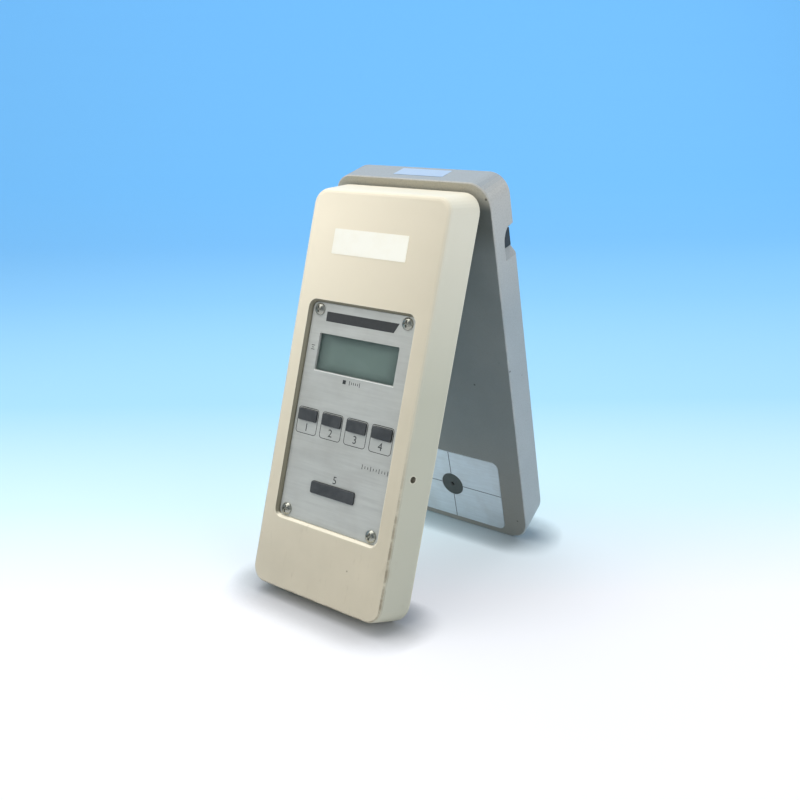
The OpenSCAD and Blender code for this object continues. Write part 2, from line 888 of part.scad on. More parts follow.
function cell_x(i) = tray_left + cell_gap + cell_d / 2 + i * cell_pitch;
function cell_z(j) = cell_low + contact_t + cell_gap + j * (cell_l + contact_t + 2 * cell_gap);

module battery_cells() {
    cap_l = 1;
    color("steelblue") in_base() for (i = [0:cell_cols - 1], j = [0, 1])
        translate([cell_x(i), cell_y, cell_z(j)]) {
            cylinder(d = cell_d, h = cell_l - cap_l);
            translate([0, 0, cell_l - cap_l - skin]) cylinder(d = 3.8, h = cap_l + skin);
        }
}

// Spring plates at both ends of the cells and between the two rows
module battery_contacts() {
    width = cell_cols * cell_pitch - 0.2;
    rows = [cell_low + 0.15, cell_z(1) - contact_t - cell_gap + 0.05,
        cell_low + cells_l - contact_t - 0.15];
    color("silver") in_base() for (z = rows)
        translate([tray_left + 0.3, film_wall + tray_t, z])
            cube([width, cell_d * 0.7, contact_t - 0.1]);
}

module charge_board() {
    color("seagreen") in_base()
        block((charge_x0 + charge_x1) / 2, charge_top - charge_l / 2, charge_x1 - charge_x0,
            charge_l, charge_board_y, board_t);
}

module charge_parts() {
    on = charge_board_y + board_t;
    part_x = charge_x0 + 6;
    color("black") in_base() {
        rod(part_x, charge_low + 13, 4, on, 6.5);
        block(part_x, charge_low + 29, 9, 10, on, 3);
        for (up = [41, 48]) block(part_x, charge_low + up, 8, 2.6, on, 2.6);
    }
}

// Thin face of the socket, which covers the floor of the recess
module jack_face() {
    low = notch_low + notch_ramp + fit_gap;
    high = notch_top - notch_slant - fit_gap;
    translate([notch_floor_x, 0, 0]) rotate([90, 0, 90]) linear_extrude(jack_face_t)
        intersection() {
            notch_side(low, notch_top + notch_crown, base_t, fit_gap);
            translate([notch_front, low]) square([base_t - notch_front - fit_gap, high - low]);
        }
}

module charger_jack() {
    color("black") in_base() difference() {
        union() {
            translate([notch_floor_x - jack_l, jack_y - jack_side / 2, jack_z - jack_side / 2])
                cube([jack_l + skin, jack_side, jack_side]);
            jack_face();
        }
        cross_rod(notch_floor_x - jack_l + 1, jack_y, jack_z, jack_bore_d / 2, jack_l);
    }
}

// ---------------------------------------------------------------- hinge

// Lugs that lean from the base up to the pin, on one screwed plate
module hinge_bracket() {
    foot_low = hinge_z - 18;
    foot_high = hinge_z - 4.5;
    plate_x = lug_x + lug_t;
    color("silver") in_base() difference() {
        union() {
            translate([-plate_x, -bracket_t, foot_low])
                cube([2 * plate_x, bracket_t, foot_high - foot_low]);
            for (x0 = [-plate_x, lug_x]) {
                cross_rod(x0, -hinge_y, hinge_z, eye_r - 0.2, lug_t);
                translate([x0, 0, 0]) rotate([90, 0, 90]) linear_extrude(lug_t) polygon([
                    [-bracket_t / 2, hinge_z - lug_heel], [-bracket_t / 2, hinge_z - 5.2],
                    [-hinge_y + lug_half, hinge_z + lug_half],
                    [-hinge_y - lug_half, hinge_z - lug_half]
                ]);
            }
        }
        cross_rod(-base_w / 2, -hinge_y, hinge_z, pin_d / 2 + skin, base_w);
        for (side = [-1, 1])
            rod(side * bracket_screw_x, bracket_screw_z, pilot_r, -bracket_t - over,
                bracket_t + 2 * over);
    }
}

module bracket_screws() {
    color("silver") in_base() for (side = [-1, 1])
        pan_screw(side * bracket_screw_x, bracket_screw_z, -bracket_t, 4.6,
            bracket_t + film_wall + 2);
}

module hinge_pin() {
    half = lug_x + lug_t + lug_gap + knuckle_t + 1.6;
    color("gainsboro") in_base() cross_rod(-half, -hinge_y, hinge_z, pin_d / 2, 2 * half);
}

module hinge_clips() {
    inside = lug_x + lug_t + lug_gap + knuckle_t + 0.2;
    color("silver") in_base() for (x0 = [inside, -inside - 0.8]) difference() {
        cross_rod(x0, -hinge_y, hinge_z, eye_r - 0.3, 0.8);
        cross_rod(x0 - over, -hinge_y, hinge_z, pin_d / 2 + skin, 0.8 + 2 * over);
    }
}

// Close-wound springs on the pin, each with a leg down to the bracket plate
module hinge_springs() {
    mean_r = pin_d / 2 + 0.15 + spring_wire / 2;
    coil_l = spring_turns * spring_wire;
    leg_x = lug_x - 0.2 - spring_wire / 2;
    leg_l = 9.6;
    color("gray") in_base() for (side = [-1, 1]) mirror([side < 0 ? 1 : 0, 0, 0]) {
        translate([leg_x, -hinge_y, hinge_z]) rotate([0, -90, 0]) rotate_extrude()
            for (i = [0:spring_turns - 1])
                translate([mean_r, i * spring_wire]) circle(spring_wire / 2 + skin, $fn = 16);
        translate([leg_x, -hinge_y, hinge_z]) rotate([45, 0, 0])
            translate([0, mean_r, 0]) rotate([180, 0, 0]) cylinder(d = spring_wire, h = leg_l);
    }
}

module service_label() {
    color("white") in_base()
        translate([-10.6, 4.6, body_l]) cube([service_w, service_h, label_t]);
}

// ---------------------------------------------------------------- nodes

base_housing();
base_bottom_cover();
base_cover_screws();
target_plate();
aperture_disc();
diffuser();
light_tube();
condenser_lens();
lamp_bulb();
lamp_socket();
lamp_board();
battery_tray();
battery_cells();
battery_contacts();
charge_board();
charge_parts();
charger_jack();
hinge_bracket();
bracket_screws();
hinge_pin();
hinge_clips();
hinge_springs();
service_label();
head_housing();
head_inner_cover();
head_cover_screws();
control_panel();
panel_screws();
display_window();
display_glass();
display_frame();
display_connectors();
main_board();
board_screws();
meter_chips();
key_switches();
read_switch();
sensor_nose();
sensor_lens();
colour_filter();
photodiode();
sensor_board();
trimmer_body();
trimmer_screw();
name_label();
off_key();
density_key();
dot_key();
null_key();
read_bar();
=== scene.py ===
"""Looks, printing, light and camera for the hinged transmission densitometer."""

import json
import math

import bmesh
import bpy
from mathutils import Matrix, Vector


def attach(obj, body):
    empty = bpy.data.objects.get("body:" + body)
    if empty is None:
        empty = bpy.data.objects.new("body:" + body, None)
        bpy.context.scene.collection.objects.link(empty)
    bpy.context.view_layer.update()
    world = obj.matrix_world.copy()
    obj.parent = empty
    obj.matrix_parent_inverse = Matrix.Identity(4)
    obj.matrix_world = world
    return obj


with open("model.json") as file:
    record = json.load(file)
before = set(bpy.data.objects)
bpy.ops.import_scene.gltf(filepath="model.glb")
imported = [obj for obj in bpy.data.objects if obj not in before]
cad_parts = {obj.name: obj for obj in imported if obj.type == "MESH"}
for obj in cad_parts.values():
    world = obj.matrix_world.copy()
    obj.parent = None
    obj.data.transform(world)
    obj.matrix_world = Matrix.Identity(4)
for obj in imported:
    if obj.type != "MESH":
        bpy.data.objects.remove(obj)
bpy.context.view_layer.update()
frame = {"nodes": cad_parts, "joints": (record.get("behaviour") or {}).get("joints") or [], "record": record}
nodes = frame["nodes"]
MM = 0.001

# ---------------------------------------------------------------- the two leaves

# Each leaf's frame: u across, w out of its inner face, v up from its free end, in millimetres.
HEAD_THICK = 16.1
PANEL_RECESS = 2.0
PLATE_PROUD = 0.1
key_axis = Vector(
    next(j["axis"] for j in frame["joints"] if j["name"] == "off_key_press")
)
rest_axis = Vector(
    next(
        m["axis"] for m in frame["record"]["mounts"] if m["name"] == "base_underside"
    )
)
HEAD_LEAN = math.atan2(-key_axis.z, key_axis.y)
BASE_LEAN = math.atan2(rest_axis.z, rest_axis.y)
HEAD_FOOT = Vector((0, -48.267, 0)) * MM
BASE_FOOT = Vector((0, 49.514, 0)) * MM
HEAD_FRAME = (
    Matrix.Translation(HEAD_FOOT)
    @ Matrix.Rotation(-HEAD_LEAN, 4, "X")
    @ Matrix.Scale(MM, 4)
)
BASE_FRAME = (
    Matrix.Translation(BASE_FOOT)
    @ Matrix.Rotation(BASE_LEAN, 4, "X")
    @ Matrix.Scale(MM, 4)
)
PANEL_FACE = -HEAD_THICK + PANEL_RECESS

# The panel's recess with its lips, the display's opening, and the adjuster's hole, which is only
# on the side where u is past HOLE_SIDE
RECESS_HALF, RECESS_LOW, RECESS_HIGH, RECESS_FADE = 30.2, 29.0, 131.0, 0.6
WINDOW_V, WINDOW_WIDTH = 106.5, 43.4
HOLE_W, HOLE_V, HOLE_R = -10.6, 62.6, 1.4
HOLE_SIDE = (20.0, 21.0)


# ---------------------------------------------------------------- shader helpers

BEVEL_SAMPLES = 4
NOISE_SPAN = (0.3, 0.7)  # most noise values lie between these
EDGE_COSINE = (1.0, 0.86)  # from a flat face to a full edge


class Shader:
    """A material with a Principled shader, and short calls that add nodes to it."""

    def __init__(self, name, **settings):
        self.material = bpy.data.materials.new(name)
        self.material.use_nodes = True
        self.tree = self.material.node_tree
        self.surface = self.tree.nodes["Principled BSDF"]
        self.put(self.surface, settings)

    def put(self, node, inputs):
        for key, value in inputs.items():
            socket = node.inputs[key.replace("_", " ") if isinstance(key, str) else key]
            if isinstance(value, bpy.types.NodeSocket):
                self.tree.links.new(value, socket)
            else:
                socket.default_value = value

    def add(self, kind, out=0, inputs=None, **settings):
        node = self.tree.nodes.new(kind)
        for key, value in settings.items():
            setattr(node, key, value)
        self.put(node, inputs or {})
        return node.outputs[out]

    def rest_place(self):
        """The rest position in metres, which rides with the piece."""
        return self.add("ShaderNodeTexCoord", "Object")

    def rest_normal(self):
        """The rest normal, which rides with the piece."""
        return self.add("ShaderNodeTexCoord", "Normal")

    def leaf_place(self, leaf_frame):
        """The rest position in a leaf's own frame, in millimetres."""
        to_leaf = leaf_frame.inverted()
        return self.add(
            "ShaderNodeMapping",
            inputs={
                "Vector": self.rest_place(),
                "Location": to_leaf.to_translation(),
                "Rotation": to_leaf.to_euler(),
                "Scale": to_leaf.to_scale(),
            },
        )

    def noise(self, place, scale, detail=2.0, rough=0.5, stretch=(1, 1, 1)):
        if stretch != (1, 1, 1):
            place = self.add(
                "ShaderNodeVectorMath",
                operation="MULTIPLY",
                inputs={0: place, 1: stretch},
            )
        return self.add(
            "ShaderNodeTexNoise",
            inputs={"Vector": place, "Scale": scale, "Detail": detail, "Roughness": rough},
        )

    def ramp(self, value, low, high, to_low=0.0, to_high=1.0):
        return self.add(
            "ShaderNodeMapRange",
            inputs={
                "Value": value,
                "From Min": low,
                "From Max": high,
                "To Min": to_low,
                "To Max": to_high,
            },
        )

    def math(self, operation, a, b=0.0):
        return self.add("ShaderNodeMath", operation=operation, inputs={0: a, 1: b})

    def times(self, first, *others):
        """All the values multiplied together."""
        for other in others:
            first = self.math("MULTIPLY", first, other)
        return first

    def greater(self, a, b):
        return self.math("MAXIMUM", a, b)

    def dot(self, a, b):
        return self.add(
            "ShaderNodeVectorMath", "Value", operation="DOT_PRODUCT", inputs={0: a, 1: b}
        )

    def split(self, vector, axis):
        return self.add("ShaderNodeSeparateXYZ", axis, inputs={"Vector": vector})

    def mix(self, factor, a, b):
        return self.add(
            "ShaderNodeMix",
            out=2,
            data_type="RGBA",
            inputs={0: factor, 6: a, 7: b},
        )

    def tint(self, body, mask, strength, tone):
        """The body's colour, moved towards a tone as far as the mask and strength say."""
        return self.mix(self.times(mask, strength), body, tone)

    def soft(self, radius):
        """The normal with corners rounded by a radius in metres."""
        return self.add("ShaderNodeBevel", samples=BEVEL_SAMPLES, inputs={"Radius": radius})

    def edges(self, radius):
        """0 on flat faces, rising to 1 on edges rounder than the radius in metres."""
        flat = self.add("ShaderNodeNewGeometry", "True Normal")
        return self.ramp(self.dot(self.soft(radius), flat), *EDGE_COSINE)

    def specks(self, place, scale, dot_span, patch_scale, patch_span):
        """Small dots, only where a wide noise is high."""
        dots = self.add(
            "ShaderNodeTexVoronoi",
            "Distance",
            inputs={"Vector": place, "Scale": scale, "Randomness": 1.0},
        )
        rare = self.ramp(self.noise(place, patch_scale, detail=1.0), *patch_span)
        return self.times(self.ramp(dots, *dot_span), rare)

    def bump(self, height, depth, strength=1.0, base=None):
        inputs = {"Height": height, "Distance": depth, "Strength": strength}
        if base is not None:
            inputs["Normal"] = base
        return self.add("ShaderNodeBump", inputs=inputs)

    def finish(self, **inputs):
        self.put(self.surface, inputs)
        return self.material


def colour(red, green, blue):
    """An sRGB colour, written 0 to 255, as Blender's linear one."""

    def linear(byte):
        share = byte / 255
        return share / 12.92 if share <= 0.04045 else ((share + 0.055) / 1.055) ** 2.4

    return (linear(red), linear(green), linear(blue), 1.0)


def towards(tone, goal, share):
    """A linear tone moved part of the way to an even grey."""
    return tuple(c + (goal - c) * share for c in tone[:3]) + (1.0,)


# ---------------------------------------------------------------- materials


def cream_paint():
    """Aged cream paint, rubbed low down, with painted light and shade: yellower on the front and paler at
    its top, darker downwards and to the right, and greyer, darker sides.
    """
    s = Shader("cream_paint", Roughness=0.55, Coat_Weight=0.08, Coat_Roughness=0.35)
    place = s.rest_place()
    leaf = s.leaf_place(HEAD_FRAME)
    rightwards, outwards, upwards = (s.split(leaf, axis) for axis in range(3))
    normal = s.rest_normal()
    facing = s.dot(normal, -key_axis)

    # Painted light and shade: the front darkens downwards and to the right, and the sides downwards, in
    # greyer, darker tones than the front
    low_half = s.ramp(upwards, 10.0, 95.0)
    high_half = s.ramp(upwards, 95.0, 165.0)
    blotch = s.noise(place, scale=34.0, detail=4.0, rough=0.6)
    front = s.mix(low_half, colour(196, 187, 165), colour(227, 217, 192))
    front = s.mix(high_half, front, colour(254, 241, 214))
    front = s.mix(s.ramp(rightwards, -30.0, 40.0, 0.0, 0.7), front, colour(194, 184, 160))
    front = s.mix(s.ramp(blotch, 0.35, 0.7, 0.0, 0.2), front, colour(236, 224, 200))
    side = s.mix(low_half, colour(182, 180, 162), colour(190, 188, 168))
    side = s.mix(high_half, side, colour(226, 219, 199))
    body = s.mix(s.ramp(facing, 0.35, 0.9), side, front)

    # Pale edges, partly rubbed paint and partly a painted highlight, and a patchy brown line on the front's
    # lower rounding
    body = s.tint(body, s.edges(1.1 * MM), 0.75, colour(232, 223, 200))
    patchy = s.ramp(s.noise(place, scale=120.0, detail=4.0, rough=0.7), 0.36, 0.56)
    rounding = s.times(s.ramp(facing, 0.96, 0.85), s.ramp(facing, 0.3, 0.6))
    brown_line = s.times(rounding, patchy, s.ramp(upwards, 80.0, 35.0))
    body = s.tint(body, brown_line, 0.7, colour(112, 98, 74))

    # The recess: painted shade on its upper and left lips, which face down and to the right, and a painted
    # highlight on its lips below and on the right, which face up and to the left
    inside = s.times(
        s.ramp(s.math("ABSOLUTE", rightwards), RECESS_HALF, RECESS_HALF - RECESS_FADE),
        s.ramp(upwards, RECESS_LOW, RECESS_LOW + RECESS_FADE),
        s.ramp(upwards, RECESS_HIGH, RECESS_HIGH - RECESS_FADE),
    )
    turned_right, turned_up = s.split(normal, 0), s.split(normal, 2)
    shaded = s.greater(s.ramp(turned_up, 0.25, -0.2), s.ramp(turned_right, 0.2, 0.6))
    body = s.tint(body, s.times(inside, shaded), 0.9, colour(104, 99, 78))
    painted_highlight = s.greater(s.ramp(turned_up, 0.6, 0.85), s.ramp(turned_right, -0.3, -0.6))
    body = s.tint(body, s.times(inside, painted_highlight), 0.9, colour(252, 243, 220))

    # Painted shade inside the adjuster's hole, dark all the way in
    off_w = s.math("SUBTRACT", outwards, HOLE_W)
    off_v = s.math("SUBTRACT", upwards, HOLE_V)
    from_hole = s.math("SQRT", s.math("ADD", s.times(off_w, off_w), s.times(off_v, off_v)))
    in_hole = s.times(
        s.ramp(from_hole, HOLE_R + 0.06, HOLE_R - 0.04), s.ramp(rightwards, *HOLE_SIDE)
    )
    body = s.tint(body, in_hole, 0.9, colour(52, 48, 38))

    # Specks all over, and fine scuffs low down
    body = s.tint(
        body, s.specks(place, 210.0, (0.1, 0.05), 95.0, (0.66, 0.7)), 0.65, colour(96, 82, 60)
    )
    scuff = s.noise(place, scale=260.0, detail=3.0, rough=0.7, stretch=(1.0, 0.25, 0.25))
    grime = s.times(s.ramp(scuff, 0.6, 0.75), s.ramp(low_half, 0.7, 0.0))
    body = s.tint(body, grime, 0.3, colour(150, 136, 108))

    grain = s.noise(place, scale=2600.0)
    orange_peel = s.noise(place, scale=700.0)
    relief = s.bump(grain, 0.02 * MM, 0.35, s.soft(0.25 * MM))
    relief = s.bump(orange_peel, 0.04 * MM, 0.3, relief)
    rough = s.ramp(blotch, *NOISE_SPAN, 0.48, 0.62)
    return s.finish(Base_Color=body, Roughness=rough, Normal=relief)


def grey_paint():
    """Textured grey paint, with painted light and shade: paler at its hinge end, a cooler grey on faces
    turned up, and darker on its inner face.
    """
    s = Shader("grey_paint", Roughness=0.62)
    place = s.rest_place()
    normal = s.rest_normal()
    upwards = s.split(s.leaf_place(BASE_FRAME), 2)
    blotch = s.ramp(s.noise(place, scale=30.0, detail=4.0, rough=0.6), *NOISE_SPAN)

    body = s.mix(blotch, colour(158, 166, 169), colour(167, 175, 177))
    # Painted light: paler towards the hinge end, and a cooler grey, the sky's cast, on faces turned up
    body = s.mix(s.ramp(upwards, 120.0, 172.0), body, colour(190, 188, 182))
    body = s.mix(s.ramp(s.split(normal, 2), 0.5, 0.85), body, colour(150, 157, 161))
    # Painted shade on the inner face between the leaves: darker all over and darkest high up in the head's
    # shadow, with painted light paler near the foot and at the very end
    inner = s.mix(blotch, colour(122, 128, 125), colour(131, 136, 132))
    inner = s.mix(s.ramp(upwards, 150.0, 162.0), inner, colour(98, 102, 96))
    inner = s.mix(s.ramp(upwards, 60.0, 12.0), inner, colour(144, 141, 132))
    inner = s.mix(s.ramp(upwards, 170.0, 176.0), inner, colour(184, 178, 160))
    body = s.mix(s.ramp(s.dot(normal, -rest_axis), 0.8, 0.97), body, inner)

    grit = s.noise(place, scale=1500.0, detail=3.0, rough=0.7)
    body = s.mix(s.ramp(grit, 0.45, 0.75, 0.0, 0.35), body, colour(120, 117, 112))
    patchy = s.ramp(s.noise(place, scale=160.0, detail=4.0, rough=0.7), 0.4, 0.62)
    body = s.tint(body, s.times(s.edges(0.9 * MM), patchy), 0.7, colour(200, 197, 190))
    body = s.tint(
        body, s.specks(place, 150.0, (0.1, 0.06), 80.0, (0.6, 0.64)), 0.8, colour(52, 50, 48)
    )
    relief = s.bump(grit, 0.05 * MM, 0.5, s.soft(0.25 * MM))
    return s.finish(Base_Color=body, Normal=relief)


def satin_metal(name, tone, brushed_along, metallic, rough):
    """Satin metal with fine brushing in one direction and a few faint rubs."""
    s = Shader(name, Metallic=metallic)
    place = s.rest_place()
    brush = s.noise(place, scale=900.0, detail=3.0, rough=0.65, stretch=brushed_along)
    cloud = s.noise(place, scale=60.0, detail=3.0, rough=0.6)
    paler = 1.16
    pale = tuple(min(1.0, c * paler) for c in tone[:3]) + (1.0,)
    body = s.mix(s.ramp(brush, *NOISE_SPAN, 0.0, 0.8), tone, pale)
    body = s.mix(s.ramp(cloud, 0.45, 0.75, 0.0, 0.3), body, colour(168, 166, 158))
    return s.finish(
        Base_Color=body,
        Roughness=s.ramp(brush, *NOISE_SPAN, rough - 0.06, rough + 0.08),
        Normal=s.bump(brush, 0.008 * MM, 0.5, s.soft(0.12 * MM)),
    )


def moulded(name, tone, rough=0.5, grain_depth=0.02, wear=0.25):
    """Moulded plastic with a fine spark-eroded grain and paler rubbed edges."""
    s = Shader(name)
    place = s.rest_place()
    grain = s.noise(place, scale=3000.0, rough=0.6)
    cloud = s.noise(place, scale=220.0, detail=3.0, rough=0.6)
    body = s.mix(s.ramp(cloud, 0.35, 0.7), tone, towards(tone, 0.5, 0.05))
    body = s.tint(body, s.edges(0.3 * MM), wear, towards(tone, 0.6, 0.3))
    return s.finish(
        Base_Color=body,
        Roughness=s.ramp(cloud, *NOISE_SPAN, rough - 0.05, rough + 0.08),
        Normal=s.bump(grain, grain_depth * MM, 0.6, s.soft(0.3 * MM)),
    )


def clear(name, tint, rough, index):
    """Clear sheet or lens with very faint haze and hairline scratches."""
    s = Shader(
        name, Base_Color=tint, Transmission_Weight=1.0, IOR=index, Specular_IOR_Level=0.5
    )
    hair = s.noise(s.rest_place(), scale=420.0, detail=4.0, rough=0.7, stretch=(0.2, 1.0, 1.6))
    haze = s.ramp(hair, 0.58, 0.72, rough, rough + 0.05)
    return s.finish(Roughness=haze, Normal=s.bump(hair, 0.002 * MM, 0.3))


def display_face():
    """Unlit display: grey-green, a little paler in the middle and darker towards its rim."""
    s = Shader("display_face", Coat_Weight=0.4, Coat_Roughness=0.12)
    place = s.rest_place()
    leaf = s.leaf_place(HEAD_FRAME)
    from_middle_u = s.math("ABSOLUTE", s.split(leaf, 0))
    from_middle_v = s.math("ABSOLUTE", s.math("SUBTRACT", s.split(leaf, 2), WINDOW_V))
    rim = s.greater(s.ramp(from_middle_u, 15.0, 22.0), s.ramp(from_middle_v, 4.5, 8.4))
    cell = s.ramp(s.noise(place, scale=70.0), *NOISE_SPAN)
    middle = s.mix(cell, colour(196, 216, 208), colour(205, 224, 216))
    fine = s.noise(place, scale=5000.0, detail=1.0)
    return s.finish(
        Base_Color=s.tint(middle, rim, 0.65, colour(146, 166, 160)),
        Roughness=s.ramp(fine, *NOISE_SPAN, 0.22, 0.3),
        Normal=s.bump(fine, 0.002 * MM, 0.3),
    )


def paper(name, tone, stain):
    """Label stock with faint fibre, soft stains and slightly yellowed edges."""
    s = Shader(name, Roughness=0.7, Sheen_Weight=0.05)
    place = s.rest_place()
    fibre = s.noise(place, scale=1800.0, detail=4.0, rough=0.7, stretch=(0.4, 1.0, 1.0))
    cloud = s.noise(place, scale=130.0, detail=3.0, rough=0.6)
    body = s.mix(s.ramp(cloud, 0.45, 0.75, 0.0, 0.5), tone, stain)
    body = s.tint(body, s.edges(0.6 * MM), 0.5, stain)
    return s.finish(Base_Color=body, Normal=s.bump(fibre, 0.01 * MM, 0.4))


def circuit_board():
    """Green board with paler tracks and a faint weave."""
    s = Shader("circuit_board", Roughness=0.35, Coat_Weight=0.3, Coat_Roughness=0.2)
    place = s.rest_place()
    tracks = s.add(
        "ShaderNodeTexBrick",
        "Color",
        inputs={
            "Vector": place,
            "Scale": 240.0,
            "Color1": colour(18, 84, 44),
            "Color2": colour(22, 98, 52),
            "Mortar": colour(42, 130, 74),
            "Mortar Size": 0.06,
        },
    )
    weave = s.noise(place, scale=1400.0)
    return s.finish(Base_Color=tracks, Normal=s.bump(weave, 0.01 * MM, 0.4))


def striped_rubber():
    """Connector strip with fine conducting stripes."""
    s = Shader("striped_rubber", Roughness=0.6)
    stripes = s.add(
        "ShaderNodeTexWave",
        "Color",
        inputs={"Vector": s.rest_place(), "Scale": 900.0},
        bands_direction="X",
    )
    return s.finish(Base_Color=s.mix(stripes, colour(38, 36, 38), colour(196, 130, 142)))


def ink(name, tone):
    """Printed ink with slightly uneven cover."""
    s = Shader(name, Roughness=0.5)
    cover = s.ramp(s.noise(s.rest_place(), scale=500.0), *NOISE_SPAN)
    paler = 1.25
    worn = tuple(c * paler for c in tone[:3]) + (1.0,)
    return s.finish(Base_Color=s.mix(cover, tone, worn))


EVEN_RUB = (1.0, 1.0, 0.5)
METALS = {
    # tone, brushing's stretch, metallic, roughness
    "satin_panel": (colour(190, 192, 186), (0.06, 1.0, 1.0), 0.45, 0.44),
    "pale_plate": (colour(208, 216, 220), (0.1, 1.0, 1.0), 0.3, 0.5),
    "zinc": (colour(188, 188, 184), EVEN_RUB, 1.0, 0.26),
    "brass_screw": (colour(200, 166, 90), (1.0, 0.5, 1.0), 1.0, 0.3),
    "cell_sleeve": (colour(90, 110, 140), (1.0, 1.0, 0.2), 0.7, 0.35),
}
PLASTICS = {
    # tone, roughness, then for two of them grain depth and edge wear
    "key_charcoal": (colour(48, 52, 54), 0.5, 0.03, 0.5),
    "black_plastic": (colour(34, 35, 36), 0.45),
    "dark_disc": (colour(66, 72, 68), 0.6, 0.02, 0.3),
    "opal": (colour(236, 236, 230), 0.4),
    "trimmer_blue": (colour(40, 76, 150), 0.35),
}
CLEARS = {
    # tint, roughness, refractive index
    "clear_plastic": (colour(236, 242, 240), 0.04, 1.46),
    "clear_glass": (colour(240, 246, 246), 0.0, 1.5),
    "filter_glass": (colour(176, 196, 84), 0.0, 1.5),
}
finishes = {
    "cream_plastic": cream_paint(),
    "base_paint": grey_paint(),
    "display": display_face(),
    "label": paper("label", colour(255, 251, 236), colour(250, 243, 222)),
    "circuit_board": circuit_board(),
    "rubber_strip": striped_rubber(),
}
for make, rows in ((satin_metal, METALS), (moulded, PLASTICS), (clear, CLEARS)):
    finishes.update({name: make(name, *row) for name, row in rows.items()})

slot_of = {row["node"]: row["material_slot"] for row in frame["record"]["subparts"]}
for name, piece in nodes.items():
    piece.data.materials.clear()
    piece.data.materials.append(finishes[slot_of[name]])

# The service label's cool blue-grey is painted light, the sky's blue cast on the base's upward end; the
# panel screws look older than the rest of their slot
nodes["service_label"].data.materials[0] = paper(
    "service_paper", colour(158, 180, 206), colour(168, 188, 210)
)
nodes["panel_screws"].data.materials[0] = satin_metal(
    "aged_zinc", colour(158, 158, 148), EVEN_RUB, 1.0, 0.3
)

# ---------------------------------------------------------------- printing

PRINT_THICK = 0.03
panel_ink = ink("panel_ink", colour(46, 48, 48))
plate_ink = ink("plate_ink", colour(84, 88, 92))


def printed(name, shapes, leaf_frame, surface, material, body):
    """One thin printed piece from flat outlines in u and v, lying on the depth `surface`."""
    mesh = bpy.data.meshes.new(name)
    build = bmesh.new()
    for outer, inner in shapes:
        rings = []
        for depth in (surface, surface - PRINT_THICK):
            rings.append(
                [
                    [build.verts.new((u, depth, v)) for u, v in ring]
                    for ring in ([outer, inner] if inner else [outer])
                ]
            )
        for back, front in zip(*rings):
            for i, corner in enumerate(back):
                j = (i + 1) % len(back)
                build.faces.new((corner, back[j], front[j], front[i]))
        for layer in rings:
            if inner:
                for i in range(len(outer)):
                    j = (i + 1) % len(outer)
                    build.faces.new(
                        (layer[0][i], layer[0][j], layer[1][j], layer[1][i])
                    )
            else:
                build.faces.new(layer[0])
    build.transform(leaf_frame)
    bmesh.ops.recalc_face_normals(build, faces=build.faces)
    build.to_mesh(mesh)
    build.free()
    mesh.materials.append(material)
    piece = bpy.data.objects.new(name, mesh)
    bpy.context.scene.collection.objects.link(piece)
    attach(piece, body)


def on_panel(name, shapes):
    printed(name, shapes, HEAD_FRAME, PANEL_FACE, panel_ink, "head")


def rounded_ring(u, v, width, height, radius, steps=5):
    """Corner points of a rounded rectangle about (u, v)."""
    points = []
    for quarter, (su, sv) in enumerate([(1, 1), (-1, 1), (-1, -1), (1, -1)]):
        for step in range(steps + 1):
            turn = math.radians(90 * (quarter + step / steps))
            points.append(
                (
                    u + su * (width / 2 - radius) + radius * math.cos(turn),
                    v + sv * (height / 2 - radius) + radius * math.sin(turn),
                )
            )
    return points


def outline(u, v, width, height, radius, line):
    """A line of even width around a rounded rectangle about (u, v)."""
    return (
        rounded_ring(u, v, width, height, radius),
        rounded_ring(u, v, width - 2 * line, height - 2 * line, radius - line),
    )


def patch(u, v, width, height):
    """A filled rectangle about (u, v)."""
    half_u, half_v = width / 2, height / 2
    return (
        [
            (u - half_u, v - half_v),
            (u + half_u, v - half_v),
            (u + half_u, v + half_v),
            (u - half_u, v + half_v),
        ],
        None,
    )


# A box around each key and its number
KEY_PITCH, KEY_ROW, KEY_HEIGHT = 13.7, 78.2, 5.0
KEY_PLACES = [(i - 1.5) * KEY_PITCH for i in range(4)]
BOX_WIDTH, BOX_BOTTOM, BOX_ROUND, BOX_LINE = 11.8, 69.8, 1.5, 0.28
BOX_TOP = KEY_ROW + KEY_HEIGHT / 2 + 0.8
BOX_MIDDLE, BOX_HEIGHT = (BOX_TOP + BOX_BOTTOM) / 2, BOX_TOP - BOX_BOTTOM
boxes = [
    outline(u, BOX_MIDDLE, BOX_WIDTH, BOX_HEIGHT, BOX_ROUND, BOX_LINE) for u in KEY_PLACES
]
on_panel("key_outlines", boxes)

# A plain band with one slanted end
BAND_LEFT, BAND_RIGHT, BAND_LOW, BAND_HIGH, BAND_SLANT = -19.6, 19.6, 119.9, 124.1, 2.2
band = [
    (BAND_LEFT, BAND_LOW),
    (BAND_RIGHT - BAND_SLANT, BAND_LOW),
    (BAND_RIGHT, BAND_HIGH),
    (BAND_LEFT, BAND_HIGH),
]
on_panel("panel_band", [(band, None)])

# A painted highlight: a thin bright strip standing for the cut edge along the bottom of the display's
# opening catching light
EDGE_SHIFT, EDGE_DROP, EDGE_LINE = 0.2, 8.4, 0.4
window_edge_highlight = [patch(EDGE_SHIFT, WINDOW_V - EDGE_DROP, WINDOW_WIDTH, EDGE_LINE)]
printed("window_edge_highlight", window_edge_highlight, HEAD_FRAME, PANEL_FACE, finishes["opal"], "head")

# A small square and three short scales of plain ticks
TICK, SHORT_TICK = 0.3, 1.1
SQUARE, SQUARE_U, SQUARE_V = 1.7, -3.9, 95.7


def scale_across(u, v, pitch, count, every, long_tick):
    """A row of ticks from (u, v) to the right, every so many of them longer."""
    return [
        patch(u + pitch * i, v, TICK, SHORT_TICK if i % every else long_tick)
        for i in range(count)
    ]


